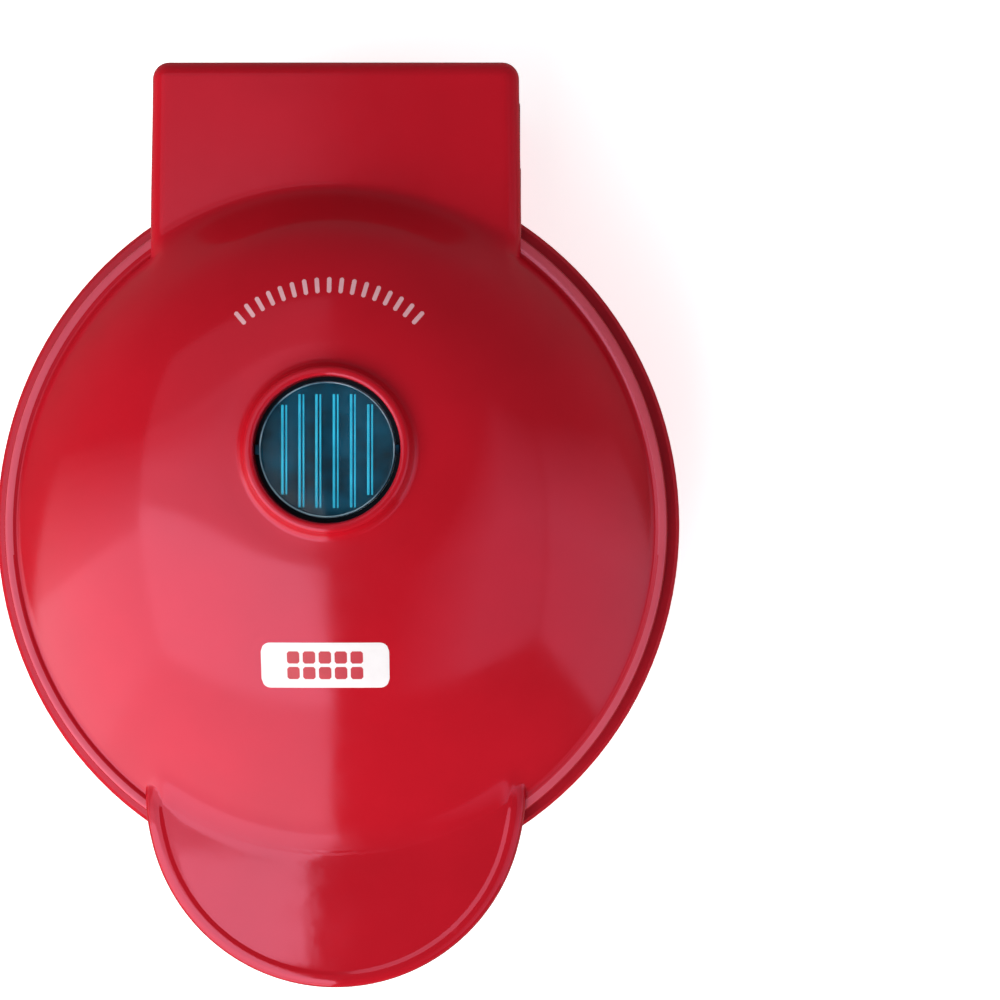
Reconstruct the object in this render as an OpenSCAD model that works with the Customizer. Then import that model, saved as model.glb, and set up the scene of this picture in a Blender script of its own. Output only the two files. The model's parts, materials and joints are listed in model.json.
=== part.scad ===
// Small round waffle maker with a domed lid, a front lift handle and a rear hinge block.
// Z points up, -Y is the front (handle), +Y the rear (hinge); the origin lies on the
// table under the middle of the body. All lengths are in millimetres.

/* [Body] */
// Width of the base across its rim
body_w = 127; // [124:1:130]
// Front to back length of the oval base
body_l = 133; // [131:1:135]
// Wall thickness of the moulded shells
wall = 2.4; // [2.2:0.1:2.6]
// Height of the joint face of the base above the table
deck_z = 41; // [41:1:41]
// Gap between the base deck and the lid rim when closed
part_gap = 1; // [0.8:0.1:1.2]

/* [Lid] */
// Half width of the lid rim
lid_a = 60.8; // [60.4:0.1:61.2]
// Height of the dome above its foot
dome_h = 21.1; // [20.6:0.1:21.6]
// How far the lens ring sits behind the middle of the body
lens_y = 13.5; // [12.5:0.5:14.5]
// Radius of the hole in the lens ring
ring_hole_r = 12.7; // [12.5:0.1:13]
// Radius of the visible part of the lens
lens_r = 11.9; // [11.6:0.1:12.2]

/* [Handle and hinge block] */
// Radius of the round front handle
handle_r = 35; // [34:0.5:35]
// Width of the lid's hinge hood
hood_w = 67; // [66:0.5:68]
// Rear face of the hood behind the middle of the body
hood_y = 85; // [85:0.5:86]
// Radius of the hinge pins
pin_r = 2; // [1.8:0.1:2.1]
// Running clearance between the pins and the base knuckles
pin_play = 0.05; // [0.03:0.01:0.08]

/* [Cooking plates] */
// Width of the heart-shaped cavity
heart_w = 90; // [86:1:92]
// Depth of the cavity in each plate
cavity_d = 5.5; // [5:0.5:5.5]
// Side of one square peg at its foot
peg = 9.8; // [9:0.2:10.4]
// Distance between peg centres
pitch = 15; // [14.5:0.5:15.5]

/* [Hidden] */
$fn = 96;

a = body_w / 2;                 // half width of the base rim
ky = body_l / body_w;           // length to width ratio of the oval
lid_z = deck_z + part_gap;      // lower face of the lid
foot_z = 47.2;                  // foot of the dome
dome_a = 58.1;                  // half width of the dome at its foot
dome_t = 16.5;                  // radius of the dome at the lens ring
top_z = foot_z + dome_h;        // dome surface at the lens ring
ax_y = 75;                      // hinge axis
ax_z = 39;
handle_y = hood_y - 85 - 50;    // centre of the round handle
plate_r = 55;                   // flange radius of the plates
bosses = [45, 135, 225, 315];   // cover screw posts
tabs = [30, 150, 270];          // plate fixing tabs

red = [0.72, 0.03, 0.09];

// ---------- shared shapes ----------

// stretches a round shape to the oval of the body
module oval() multmatrix([[1, 0, 0, 0], [0, ky, 0, 0], [0, 0, 1, 0], [0, 0, 0, 1]]) children();

// leans a dome backwards so that its top lies on the lens centre
module lean() {
  k = lens_y / dome_h;
  multmatrix([[1, 0, 0, 0], [0, ky, k, -k * foot_z], [0, 0, 1, 0], [0, 0, 0, 1]]) children();
}

// rectangle with round corners
module rrect(x0, x1, y0, y1, r) {
  translate([x0 + r, y0]) square([x1 - x0 - 2 * r, y1 - y0]);
  translate([x0, y0 + r]) square([x1 - x0, y1 - y0 - 2 * r]);
  for (x = [x0 + r, x1 - r], y = [y0 + r, y1 - r]) translate([x, y]) circle(r = r, $fn = 32);
}

// extrudes a (y, z) profile from x0 to x1
module side_extrude(x0, x1) translate([x0, 0, 0]) rotate([90, 0, 90]) linear_extrude(x1 - x0) children();

// outer curve of the bowl, set in by w
function bowl_pts(w) = [for (i = [0 : 10]) let (t = 35 + 55 * i / 10)
  [a - 1.2 - w - 30 * (1 - sin(t)), 34.2 - (33.8 - w) * cos(t)]];

// curve of the dome, set in by w
function dome_pts(w, n) = [for (i = [0 : n]) let (s = i / n)
  [dome_a - w - (dome_a - dome_t) * s, foot_z - 0.9 * w + dome_h * (1 - pow(1 - s, 2))]];

// round wire through points p
function spline(p0, p1, p2, p3, t) = 0.5 * ((2 * p1) + (p2 - p0) * t
  + (2 * p0 - 5 * p1 + 4 * p2 - p3) * t * t + (3 * p1 - p0 - 3 * p2 + p3) * t * t * t);
function path(p, k) = concat([for (i = [0 : len(p) - 2]) for (j = [0 : k - 1])
  spline(p[max(i - 1, 0)], p[i], p[i + 1], p[min(i + 2, len(p) - 1)], j / k)], [p[len(p) - 1]]);
function unit(v) = v / norm(v);
module wire(p, r, ref, k = 4) {
  q = path(p, k);
  n = len(q);
  pts = [for (i = [0 : n - 1])
    let (t = unit(q[min(i + 1, n - 1)] - q[max(i - 1, 0)]), u = unit(cross(t, ref)), v = cross(t, u))
    for (j = [0 : 7]) q[i] + r * (cos(45 * j) * u + sin(45 * j) * v)];
  polyhedron(points = pts, faces = concat(
    [[for (j = [7 : -1 : 0]) j]],
    [for (i = [0 : n - 2]) for (j = [0 : 7])
      [i * 8 + j, i * 8 + (j + 1) % 8, (i + 1) * 8 + (j + 1) % 8, (i + 1) * 8 + j]],
    [[for (j = [0 : 7]) (n - 1) * 8 + j]]));
}

// pan-head screw pointing up, underside of the head at z = 0
module screw(r, l, hr, hh) {
  translate([0, 0, -0.01]) cylinder(h = l, r = r, $fn = 24);
  difference() {
    translate([0, 0, -hh]) cylinder(h = hh, r = hr, $fn = 32);
    translate([-0.35, -hr * 0.6, -hh - 0.01]) cube([0.7, hr * 1.2, hh * 0.45]);
    translate([-hr * 0.6, -0.35, -hh - 0.01]) cube([hr * 1.2, 0.7, hh * 0.45]);
  }
}

// outline of the heart cavity, tip towards the front
module heart2d(grow = 0) {
  k = heart_w / 90;
  s = 45 * k;
  translate([0, -2 * k]) {
    for (m = [-1, 1]) translate([m * 20.8 * k, 16.5 * k]) circle(r = 24.2 * k + grow, $fn = 96);
    polygon([[-43.5 * k - grow, 8 * k], [-36.4 * k - grow * 0.9, -2.2 * k], [-3.2 * k - grow * 0.6, -42.2 * k],
      [0, -43.4 * k - grow], [3.2 * k + grow * 0.6, -42.2 * k], [36.4 * k + grow * 0.9, -2.2 * k],
      [43.5 * k + grow, 8 * k], [20 * k, 16.5 * k], [0, 28 * k + grow], [-20 * k, 16.5 * k]]);
  }
}

// square pegs that press the pockets of the waffle, standing on z = 0
module pegs(h) {
  intersection() {
    for (i = [-3 : 3], j = [-3 : 3]) if (i * i + j * j < 14)
      translate([i * pitch, j * pitch - 1, -0.4])
        translate([-peg / 2, -peg / 2, 0]) cube([peg, peg, h + 0.4]);
    translate([0, 0, -1]) linear_extrude(h + 2) heart2d(-2.6);
  }
}

// heating tube on a three-quarter ring with two upright ends and their cold pins
module heater(rr, z, dz, gap) {
  translate([0, 0, z]) rotate([0, 0, 90 + gap]) rotate_extrude(angle = 360 - 2 * gap) translate([rr, 0]) circle(r = 3.2, $fn = 32);
  for (m = [-1, 1]) {
    x = m * rr * sin(gap);
    y = rr * cos(gap);
    translate([x, y, dz > 0 ? z - 3.3 : z + dz]) cylinder(h = abs(dz) + 3.3, r = 3.4, $fn = 32);
    translate([x, y, dz > 0 ? z + dz - 0.5 : z + dz - 4.5]) cylinder(h = 5, r = 1.1, $fn = 24);
  }
}

// ---------- base ----------

module bowl_outer() oval() rotate_extrude() polygon(concat([[0, bowl_pts(0)[0][1]]], bowl_pts(0),
  [[a, 35.2], [a, deck_z - 0.7], [a - 0.7, deck_z], [0, deck_z]]));

module bowl_inner() oval() rotate_extrude() polygon(concat([[0, 5], [46.6, 5], [46.6, 8.3]], bowl_pts(wall),
  [[a - 3.3, 36], [a - 3.3, deck_z + 1], [0, deck_z + 1]]));

module base_housing() color(red) {
  difference() {
    union() {
      difference() {
        union() {
          bowl_outer();
          // hinge block: low cord box, upright wall, and the two outer shoulders
          translate([0, 0, 6.6]) linear_extrude(17.4) rrect(-34, 34, 36, 83.5, 3);
          translate([0, 0, 20]) linear_extrude(deck_z - 20) rrect(-30.3, 30.3, 36, 71.5, 1);
          translate([0, 0, 20]) linear_extrude(deck_z - 20) rrect(-34, 34, 36, 67, 1);
          // front lip under the handle
          intersection() {
            translate([0, handle_y, 33.6]) rotate_extrude() polygon([[0, 4.9], [31.6, 4.9], [31.6, 0], [33.2, 0],
              [34.2, 1.2], [34.2, deck_z - 34.3], [33.5, deck_z - 33.6], [0, deck_z - 33.6]]);
            translate([-40, -100, 30]) cube([80, 65, 20]);
          }
        }
        bowl_inner();
        translate([0, 0, 6.6 + wall]) linear_extrude(17.4 - 2 * wall) rrect(-34 + wall, 34 - wall, 30, 83.5 - wall, 1);
        translate([-27.9, 30, 12]) cube([55.8, 36.9, deck_z - 12 - 2.5]);
        translate([-31.6, 30, 12]) cube([63.2, 34.6, deck_z - 12 - 2.5]);
      }
      // deck ring and the ledge that carries the plate
      intersection() {
        bowl_outer();
        union() {
          translate([0, 0, deck_z - 2.5]) cylinder(h = 2.5, r = 70);
          rotate_extrude() polygon([[52, 35.8], [58.6, 35.8], [58.6, 39], [55.6, 39], [55.6, 38.1], [52, 38.1]]);
        }
      }
      // hinge knuckles
      for (m = [-1, 1]) side_extrude(m > 0 ? 14 : -30.3, m > 0 ? 30.3 : -14) {
        translate([ax_y, ax_z]) circle(r = 6.8, $fn = 64);
        polygon([[66, 28], [71.5, 28], [71.6, 33.1], [75, 39], [75, 45.8], [72.5, 45.3], [66, deck_z]]);
      }
      // posts for the bottom cover, each with a rib to the wall
      for (b = bosses) rotate([0, 0, b]) translate([40, 0, 6]) cylinder(h = 13, r = 3.6, $fn = 32);
      intersection() {
        bowl_outer();
        union() {
          for (b = bosses) rotate([0, 0, b]) translate([42.5, -1.2, 13]) cube([12.5, 2.4, 6]);
          // tabs that take the plate screws
          for (b = tabs) rotate([0, 0, b]) translate([45.2, -4.5, 28]) cube([b == 270 ? 18.2 : 15.8, 9, 2.4]);
        }
      }
    }
    // clear opening for the plate
    translate([0, 0, 38.1]) cylinder(h = 5, r = 55.6);
    translate([0, 0, 34]) cylinder(h = 8, r = 52);
    // room between the knuckles for the lid lugs and the harness
    translate([-13.9, 69.3, 32.5]) cube([27.8, 6, 12]);
    // harness hole in the rear wall
    translate([-11, 64, 33.6]) cube([6.6, 8, 4.6]);
    // hinge bore
    translate([-31, ax_y, ax_z]) rotate([0, 90, 0]) cylinder(h = 62, r = pin_r + pin_play, $fn = 64);
    // cord inlet
    translate([0, 78, 15]) rotate([-90, 0, 0]) cylinder(h = 10, r = 5);
    // pilot holes
    for (b = bosses) rotate([0, 0, b]) translate([40, 0, 5]) cylinder(h = 11, r = 1.15, $fn = 24);
    for (b = tabs) rotate([0, 0, b]) translate([48.8, 0, 27]) cylinder(h = 5, r = 1.7, $fn = 24);
  }
}

module bottom_cover() color([0.45, 0.02, 0.06]) difference() {
  oval() rotate_extrude() polygon([[0, 3.2], [46.2, 3.2], [49, 6.1], [46.1, 6.1], [46.1, 9], [44.3, 9], [44.3, 5.6], [0, 5.6]]);
  for (b = bosses) rotate([0, 0, b]) {
    translate([40, 0, 2]) cylinder(h = 6, r = 1.7, $fn = 24);
    translate([40, 0, 2]) cylinder(h = 2.4, r = 3.1, $fn = 32);
  }
  for (b = [0 : 90 : 270]) rotate([0, 0, b]) translate([36, 0, 2]) cylinder(h = 6, r = 2.5, $fn = 32);
  // vent slots
  for (i = [-4 : 4]) translate([i * 5.2 - 0.9, -14, 2]) cube([1.8, 28, 6]);
}

module rubber_feet() color([0.08, 0.08, 0.08]) for (b = [0 : 90 : 270]) rotate([0, 0, b]) translate([36, 0, 0])
  rotate_extrude($fn = 48) polygon([[0, 0], [5.4, 0], [6, 0.7], [6, 3.2], [2.4, 3.2], [2.4, 5.7], [3.2, 5.7], [2.6, 7.2], [0, 7.2]]);

module cover_screws() color([0.75, 0.76, 0.78]) for (b = bosses) rotate([0, 0, b])
  translate([40, 0, 4.4]) screw(1.15, 9, 2.8, 1.1);

module lower_plate() color([0.16, 0.16, 0.17]) difference() {
  union() {
    difference() {
      union() {
        translate([0, 0, 38.2]) cylinder(h = 2.6, r = plate_r);
        translate([0, 0, 40.8]) cylinder(h = 0.5, r = 52.6);
        translate([0, 0, 33.2]) cylinder(h = 5.1, r = 51.4);
      }
      translate([0, 0, 41.3 - cavity_d]) linear_extrude(10) heart2d();
    }
    translate([0, 0, 41.3 - cavity_d]) pegs(3.5);
    for (b = tabs) rotate([0, 0, b]) translate([48.8, 0, 30.5]) cylinder(h = 3, r = 3.2, $fn = 32);
    translate([0, -14, 26.4]) cylinder(h = 7, r = 4, $fn = 32);
    for (m = [-1, 1]) translate([m * 12.6, 11, 27.5]) cylinder(h = 6, r = 2.8, $fn = 32);
    // ribs that guide the heating tube
    rotate([0, 0, 125]) rotate_extrude(angle = 290) translate([36.8, 29.6]) square([1.6, 4]);
  }
  for (b = tabs) rotate([0, 0, b]) translate([48.8, 0, 30]) cylinder(h = 4.2, r = 1.3, $fn = 24);
  translate([0, -14, 26]) cylinder(h = 7, r = 1.3, $fn = 24);
  for (m = [-1, 1]) translate([m * 12.6, 11, 27]) cylinder(h = 6, r = 0.95, $fn = 24);
}

module lower_heater() color([0.35, 0.36, 0.37]) heater(33, 29.8, -5.2, 32);

module lower_heater_clamp() color([0.7, 0.71, 0.73]) difference() {
  translate([-35, -18.5, 25.6]) cube([70, 9, 0.8]);
  translate([0, -14, 25]) cylinder(h = 2, r = 1.65, $fn = 24);
}

module lower_reflector() color([0.8, 0.81, 0.83]) difference() {
  rotate_extrude() polygon([[0, 24.9], [40.2, 24.9], [43.9, 31.5], [43.2, 31.5], [39.8, 25.5], [0, 25.5]]);
  translate([0, -14, 24]) cylinder(h = 3, r = 1.65, $fn = 24);
  translate([-16, 1, 24]) cube([32, 20, 3]);
  for (m = [-1, 1]) translate([m * 33 * sin(32), 33 * cos(32), 24]) cylinder(h = 3, r = 4.2, $fn = 32);
}

module plate_screws() color([0.75, 0.76, 0.78]) {
  for (b = tabs) rotate([0, 0, b]) translate([48.8, 0, 28]) screw(1.3, 5.8, 2.7, 1.8);
  translate([0, -14, 24.9]) screw(1.3, 7.6, 2.7, 1.8);
}

module thermostat() color([0.25, 0.18, 0.12]) translate([0, 11, 0]) {
  rotate_extrude($fn = 64) polygon([[0, 21.5], [7.2, 21.5], [7.6, 22], [7.6, 27.6], [9.3, 27.6], [9.3, 28.5], [8, 28.5], [8, 32.6], [7.6, 33.1], [0, 33.1]]);
  for (m = [-1, 1]) translate([m * 4 - 2.4, -0.4, 15.5]) cube([4.8, 0.8, 6.2]);
}

module thermostat_bracket() color([0.7, 0.71, 0.73]) difference() {
  union() {
    translate([-15.4, 7, 26.6]) cube([30.8, 8, 0.8]);
    translate([0, 11, 26.6]) cylinder(h = 0.8, r = 9.6, $fn = 64);
  }
  translate([0, 11, 26]) cylinder(h = 2, r = 7.8, $fn = 64);
  for (m = [-1, 1]) translate([m * 12.6, 11, 26]) cylinder(h = 2, r = 1.2, $fn = 24);
}

module thermostat_screws() color([0.75, 0.76, 0.78]) for (m = [-1, 1]) translate([m * 12.6, 11, 26.6]) screw(0.95, 5.5, 2, 1.3);

module thermal_fuse() color([0.85, 0.85, 0.82]) translate([-14, -27, 21]) rotate([0, 90, 0])
  rotate_extrude($fn = 32) polygon([[0, 0], [0.5, 0], [0.5, 8.6], [1.9, 9], [1.9, 19], [0.5, 19.6], [0.5, 28], [0, 28]]);

module fuse_sleeve() color([0.93, 0.92, 0.86]) translate([-11, -27, 21]) rotate([0, 90, 0]) difference() {
  cylinder(h = 22, r = 2.9, $fn = 32);
  translate([0, 0, -1]) cylinder(h = 24, r = 2.2, $fn = 32);
}

module crimp_caps() color([0.9, 0.9, 0.88]) for (x = [-18, 0, 18]) translate([x, 50, 13]) rotate([90, 0, 0])
  difference() {
    rotate_extrude($fn = 32) polygon([[0, 0], [3.2, 0], [3.2, 9], [2.4, 12], [0, 12.6]]);
    translate([0, 0, -1]) cylinder(h = 7, r = 2.4, $fn = 32);
  }

module lower_terminal_boots() color([0.85, 0.85, 0.82]) for (m = [-1, 1])
  translate([m * 33 * sin(32), 33 * cos(32), 17]) difference() {
    cylinder(h = 7, r = 2.3, $fn = 32);
    translate([0, 0, 3]) cylinder(h = 5, r = 1.15, $fn = 24);
  }

module base_wires() color([0.9, 0.9, 0.9]) {
  // cap to fuse, fuse to thermostat
  wire([[-18, 48, 13], [-18, 54, 13], [-24, 57, 12.6], [-26.4, 46, 11.4], [-23.2, 34, 10.6], [-22.6, 27, 10.6], [-26, 14, 13], [-30, 0, 16], [-30, -14, 18], [-24, -26, 20.6], [-14.2, -27, 21]], 0.8, [0, 0, 1]);
  wire([[14.2, -27, 21], [21, -26, 20], [24, -16, 16], [18, 0, 12.4], [7, 8, 12], [4, 11, 13], [4, 11.2, 15.3]], 0.8, [1, 0, 1]);
  // thermostat to heater end
  wire([[-4, 11.2, 15.3], [-4, 12, 12.6], [-9, 18, 12], [-15, 25, 13], [-17.5, 28, 15], [-17.5, 28, 16.8]], 0.8, [1, 0.3, 0]);
  // neutral cap to the other heater end
  wire([[16.9, 48, 13], [16.6, 53.5, 12.4], [13, 56, 11.6], [9, 51, 11.4], [12, 34, 12.4], [17.5, 28.4, 14.6], [17.5, 28, 16.8]], 0.8, [1, 0, 1]);
  // pair that rises to the hinge axis and ends inside the harness sleeve
  wire([[0, 48, 13], [0, 55, 13], [-4, 61, 15], [-8.6, 64, 24], [-8.6, 65.4, 32.8], [-8.6, 69.4, 36], [-8.2, 73.4, 38], [-4, 75, 38.25], [-0.1, 75, 38.25]], 0.7, [0, 1, -1]);
  wire([[19.1, 48, 13], [19.6, 54, 13.4], [14, 60.4, 15], [0, 63.8, 21], [-6.6, 65, 31], [-6.8, 66.4, 34.4], [-6.8, 69.4, 37.2], [-6, 73.6, 39.5], [-3.4, 75, 39.75], [-0.1, 75, 39.75]], 0.7, [0, 1, -1]);
}

module cord_gland() color([0.07, 0.07, 0.07]) translate([0, 0, 15]) rotate([-90, 0, 0]) difference() {
  rotate_extrude($fn = 64) polygon([[0, 79.5], [5.8, 79.5], [5.8, 81.1], [4.95, 81.1], [4.95, 83.5], [6.8, 83.5], [6.8, 84.3], [6.2, 85], [0, 85]]);
  translate([0, 0, 78]) cylinder(h = 8, r = 3.3, $fn = 64);
}

// ---------- hinge ----------

module hinge_pins() color([0.78, 0.79, 0.8]) for (m = [-1, 1])
  translate([m > 0 ? 10.6 : -hood_w / 2, ax_y, ax_z]) rotate([0, 90, 0]) cylinder(h = hood_w / 2 - 10.6, r = pin_r, $fn = 64);

module hinge_harness_sleeve() color([0.93, 0.92, 0.86]) translate([-3.2, ax_y, ax_z]) rotate([0, 90, 0]) difference() {
  cylinder(h = 6.4, r = 2.4, $fn = 32);
  translate([0, 0, -1]) cylinder(h = 9, r = 1.85, $fn = 32);
}

// ---------- lid ----------

module hood_profile() {
  translate([36, lid_z]) square([hood_y - 36, 49.5 - lid_z - 2]);
  translate([36, lid_z]) square([hood_y - 38, 49.5 - lid_z]);
  translate([hood_y - 2, 47.5]) circle(r = 2, $fn = 48);
  translate([70, 38]) square([hood_y - 70, 6]);
  translate([ax_y, ax_z]) circle(r = 6, $fn = 64);
}

module hood_outer() intersection() {
  translate([0, 0, 30]) linear_extrude(20) rrect(-hood_w / 2, hood_w / 2, 30, hood_y, 2);
  side_extrude(-40, 40) hood_profile();
  translate([0, 100, 0]) rotate([90, 0, 0]) linear_extrude(80) rrect(-hood_w / 2, hood_w / 2, 20, 49.5, 2);
}

module lid_shell() color(red) {
  difference() {
    union() {
      difference() {
        union() {
          // rim band with the groove around the dome
          oval() rotate_extrude() polygon([[0, lid_z], [lid_a - 0.6, lid_z], [lid_a, lid_z + 0.6], [lid_a, 46.8], [lid_a - 0.5, 47.4],
            [lid_a - 1.2, 47.4], [lid_a - 1.5, 46.9], [58.5, 46.9], [58.2, 47.3], [0, 47.3]]);
          // dome
          lean() rotate_extrude() polygon(concat([[0, 46.6], [dome_a, 46.6]], dome_pts(0, 14), [[0, top_z]]));
          hood_outer();
          // handle with a raised edge band
          intersection() {
            translate([0, handle_y, 0]) rotate_extrude() polygon([[0, lid_z], [handle_r - 0.8, lid_z], [handle_r, lid_z + 0.8], [handle_r, 48],
              [handle_r - 0.6, 49.3], [handle_r - 1.8, 50], [handle_r - 3, 50], [handle_r - 3.5, 49.6], [0, 49.6]]);
            translate([-40, -100, 30]) cube([80, 65, 30]);
          }
        }
        // inside of the rim and of the dome
        oval() translate([0, 0, 40]) cylinder(h = 5.9, r = 58.7);
        lean() rotate_extrude() polygon(concat([[0, 44], [dome_a - 2.3, 44]], dome_pts(2.3, 14), [[0, foot_z - 2.07 + dome_h]]));
        // inside of the hood
        translate([-31, 52, 20]) cube([62, hood_y - 2.4 - 52, 27.1]);
        // inside of the handle
        intersection() {
          translate([0, handle_y, 40]) cylinder(h = 7.4, r = handle_r - 2.4);
          translate([-40, -100, 30]) cube([80, 60, 30]);
        }
      }
      // lens ring and the tube below it
      translate([0, lens_y, 0]) rotate_extrude() polygon([[12, 62.5], [16, 62.5], [16, 66], [17.4, 67], [17.4, top_z - 0.1], [16.6, top_z + 0.15],
        [15.7, top_z + 0.8], [15.2, top_z + 1.8], [14.8, top_z + 2.4], [14.3, top_z + 2.7], [13.4, top_z + 2.7], [12, top_z + 2.4]]);
      // lugs beside the harness
      for (m = [-1, 1]) side_extrude(m > 0 ? 10.5 : -13.5, m > 0 ? 13.5 : -10.5) {
        translate([ax_y, ax_z]) circle(r = 4.6, $fn = 64);
        translate([70.4, ax_z]) square([9.2, 9]);
      }
      // bosses for the frame screws
      for (m = [-1, 1]) {
        translate([m * 16, handle_y - 16, 43.8]) cylinder(h = 4.5, r = 3.2, $fn = 32);
        translate([m * 24, 62.6, 43.8]) cylinder(h = 4.5, r = 3.2, $fn = 32);
      }
      // ribs that press on the plate flange
      for (b = [20, 160, 200, 340]) rotate([0, 0, b]) translate([52.6, -1.2, 45.4]) cube([3.8, 2.4, 3]);
    }
    translate([0, lens_y, 60]) cylinder(h = 20, r = ring_hole_r);
    translate([0, lens_y, 60]) cylinder(h = 8, r = 14);
    translate([-40, ax_y, ax_z]) rotate([0, 90, 0]) cylinder(h = 80, r = pin_r, $fn = 64);
    for (m = [-1, 1]) {
      translate([m * 16, handle_y - 16, 43]) cylinder(h = 5.2, r = 1.15, $fn = 24);
      translate([m * 24, 62.6, 43]) cylinder(h = 5.2, r = 1.15, $fn = 24);
    }
  }
}

module lid_frame() color([0.12, 0.12, 0.12]) difference() {
  union() {
    translate([0, 0, lid_z]) linear_extrude(1.7) {
      multmatrix([[1, 0, 0, 0], [0, ky, 0, 0], [0, 0, 1, 0], [0, 0, 0, 1]]) circle(r = 58.4);
      intersection() {
        translate([0, handle_y]) circle(r = handle_r - 2.7);
        translate([-40, -100]) square([80, 60]);
      }
      translate([-30.6, 40]) square([61.2, 26.2]);
    }
    translate([0, 0, lid_z + 1]) cylinder(h = 2.4, r = 57.4);
  }
  translate([0, 0, lid_z - 1]) cylinder(h = 8, r = 52.3);
  translate([0, 0, lid_z + 1.75]) cylinder(h = 8, r = 55.5);
  // passage for the lid wires
  translate([3, 50, lid_z + 1.75]) cube([11, 12, 4]);
  for (m = [-1, 1]) {
    translate([m * 16, handle_y - 16, 40]) cylinder(h = 5, r = 1.5, $fn = 24);
    translate([m * 16, handle_y - 16, 41]) cylinder(h = 2, r = 2.7, $fn = 32);
    translate([m * 24, 62.6, 40]) cylinder(h = 5, r = 1.5, $fn = 24);
    translate([m * 24, 62.6, 41]) cylinder(h = 2, r = 2.7, $fn = 32);
  }
}

module frame_screws() color([0.75, 0.76, 0.78]) for (m = [-1, 1]) {
  translate([m * 16, handle_y - 16, 43]) screw(1.15, 5, 2.5, 0.9);
  translate([m * 24, 62.6, 43]) screw(1.15, 5, 2.5, 0.9);
}

module upper_plate() color([0.16, 0.16, 0.17]) difference() {
  union() {
    difference() {
      union() {
        translate([0, 0, 41.8]) cylinder(h = 2.2, r = 51.9);
        translate([0, 0, 43.8]) cylinder(h = 1.5, r = plate_r);
        translate([0, 0, 45.2]) cylinder(h = 4.4, r1 = 51.4, r2 = 48.6);
      }
      translate([0, 0, 41.8 + cavity_d - 10]) linear_extrude(10) heart2d();
    }
    translate([0, 0, 41.8 + cavity_d]) mirror([0, 0, 1]) pegs(3.5);
    translate([0, -12, 49.5]) cylinder(h = 6.75, r = 4, $fn = 32);
    rotate([0, 0, 125]) rotate_extrude(angle = 290) translate([33.8, 49]) square([1.6, 3.6]);
  }
  translate([0, -12, 50]) cylinder(h = 7, r = 1.3, $fn = 24);
}

module upper_heater() color([0.35, 0.36, 0.37]) heater(30, 53, 4, 30);

module upper_heater_clamp() color([0.7, 0.71, 0.73]) difference() {
  translate([-28.4, -16, 56.3]) cube([56.8, 8, 0.7]);
  translate([0, -12, 55]) cylinder(h = 3, r = 1.65, $fn = 24);
}

module upper_reflector() color([0.8, 0.81, 0.83]) difference() {
  rotate_extrude() polygon([[0, 57.65], [33.2, 57.65], [41.9, 52.2], [41.4, 51.6], [33, 57.05], [0, 57.05]]);
  translate([0, -12, 56]) cylinder(h = 3, r = 1.65, $fn = 24);
  for (m = [-1, 1]) translate([m * 30 * sin(30), 30 * cos(30), 55]) cylinder(h = 5, r = 4.2, $fn = 32);
}

module upper_clamp_screw() color([0.75, 0.76, 0.78]) translate([0, -12, 57.65]) mirror([0, 0, 1]) screw(1.3, 6.5, 2.7, 1.8);

module indicator_lens() color([0.1, 0.45, 0.7]) translate([0, lens_y, 0]) difference() {
  rotate_extrude() polygon(concat([[0, 66.6], [13.7, 66.6], [13.7, 67.9], [lens_r, 67.9], [lens_r, 69.2]],
    [for (i = [0 : 8]) let (t = 80 - 10 * i) [lens_r * sin(t) / sin(85), 69.2 + 1.0 * (cos(t) - cos(85))]]));
  // flutes under the lens
  for (i = [-3 : 3]) translate([i * 3.1 - 0.8, -9, 66]) cube([1.6, 18, 1.4]);
}

module lamp_holder() color([0.9, 0.9, 0.88]) translate([0, lens_y, 0]) difference() {
  translate([0, 0, 61]) cylinder(h = 5.5, r = 13.6);
  translate([0, 0, 62.2]) cylinder(h = 6, r = 11.8);
  for (m = [-1, 1]) translate([m * 7, 0, 60]) cylinder(h = 4, r = 1.1, $fn = 24);
}

module lens_retainer() color([0.3, 0.3, 0.32]) translate([0, lens_y, 0])
  rotate_extrude() polygon([[10.5, 60.1], [16.9, 60.1], [16.9, 64.5], [16.05, 64.5], [16.05, 60.9], [10.5, 60.9]]);

module neon_lamp() color([0.95, 0.6, 0.35]) translate([-4.5, lens_y, 64.2]) rotate([0, 90, 0])
  rotate_extrude($fn = 32) polygon([[0, -1.5], [0.3, -1.5], [0.3, 0], [1.6, 0], [1.9, 0.4], [1.9, 8], [1.2, 9], [0, 9.4]]);

module lamp_resistor() color([0.85, 0.75, 0.55]) translate([21, 12, 60.6]) rotate([90, 0, 0])
  rotate_extrude($fn = 32) polygon([[0, -3], [0.3, -3], [0.3, 0], [1.3, 0.2], [1.5, 1], [1.2, 2], [1.2, 5], [1.5, 6], [1.3, 6.8], [0.3, 7], [0.3, 10], [0, 10]]);

module upper_terminal_boots() color([0.85, 0.85, 0.82]) for (m = [-1, 1])
  translate([m * 30 * sin(30), 30 * cos(30), 57.2]) difference() {
    cylinder(h = 6, r = 2.3, $fn = 32);
    translate([0, 0, -0.5]) cylinder(h = 4.9, r = 1.15, $fn = 24);
  }

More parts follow.
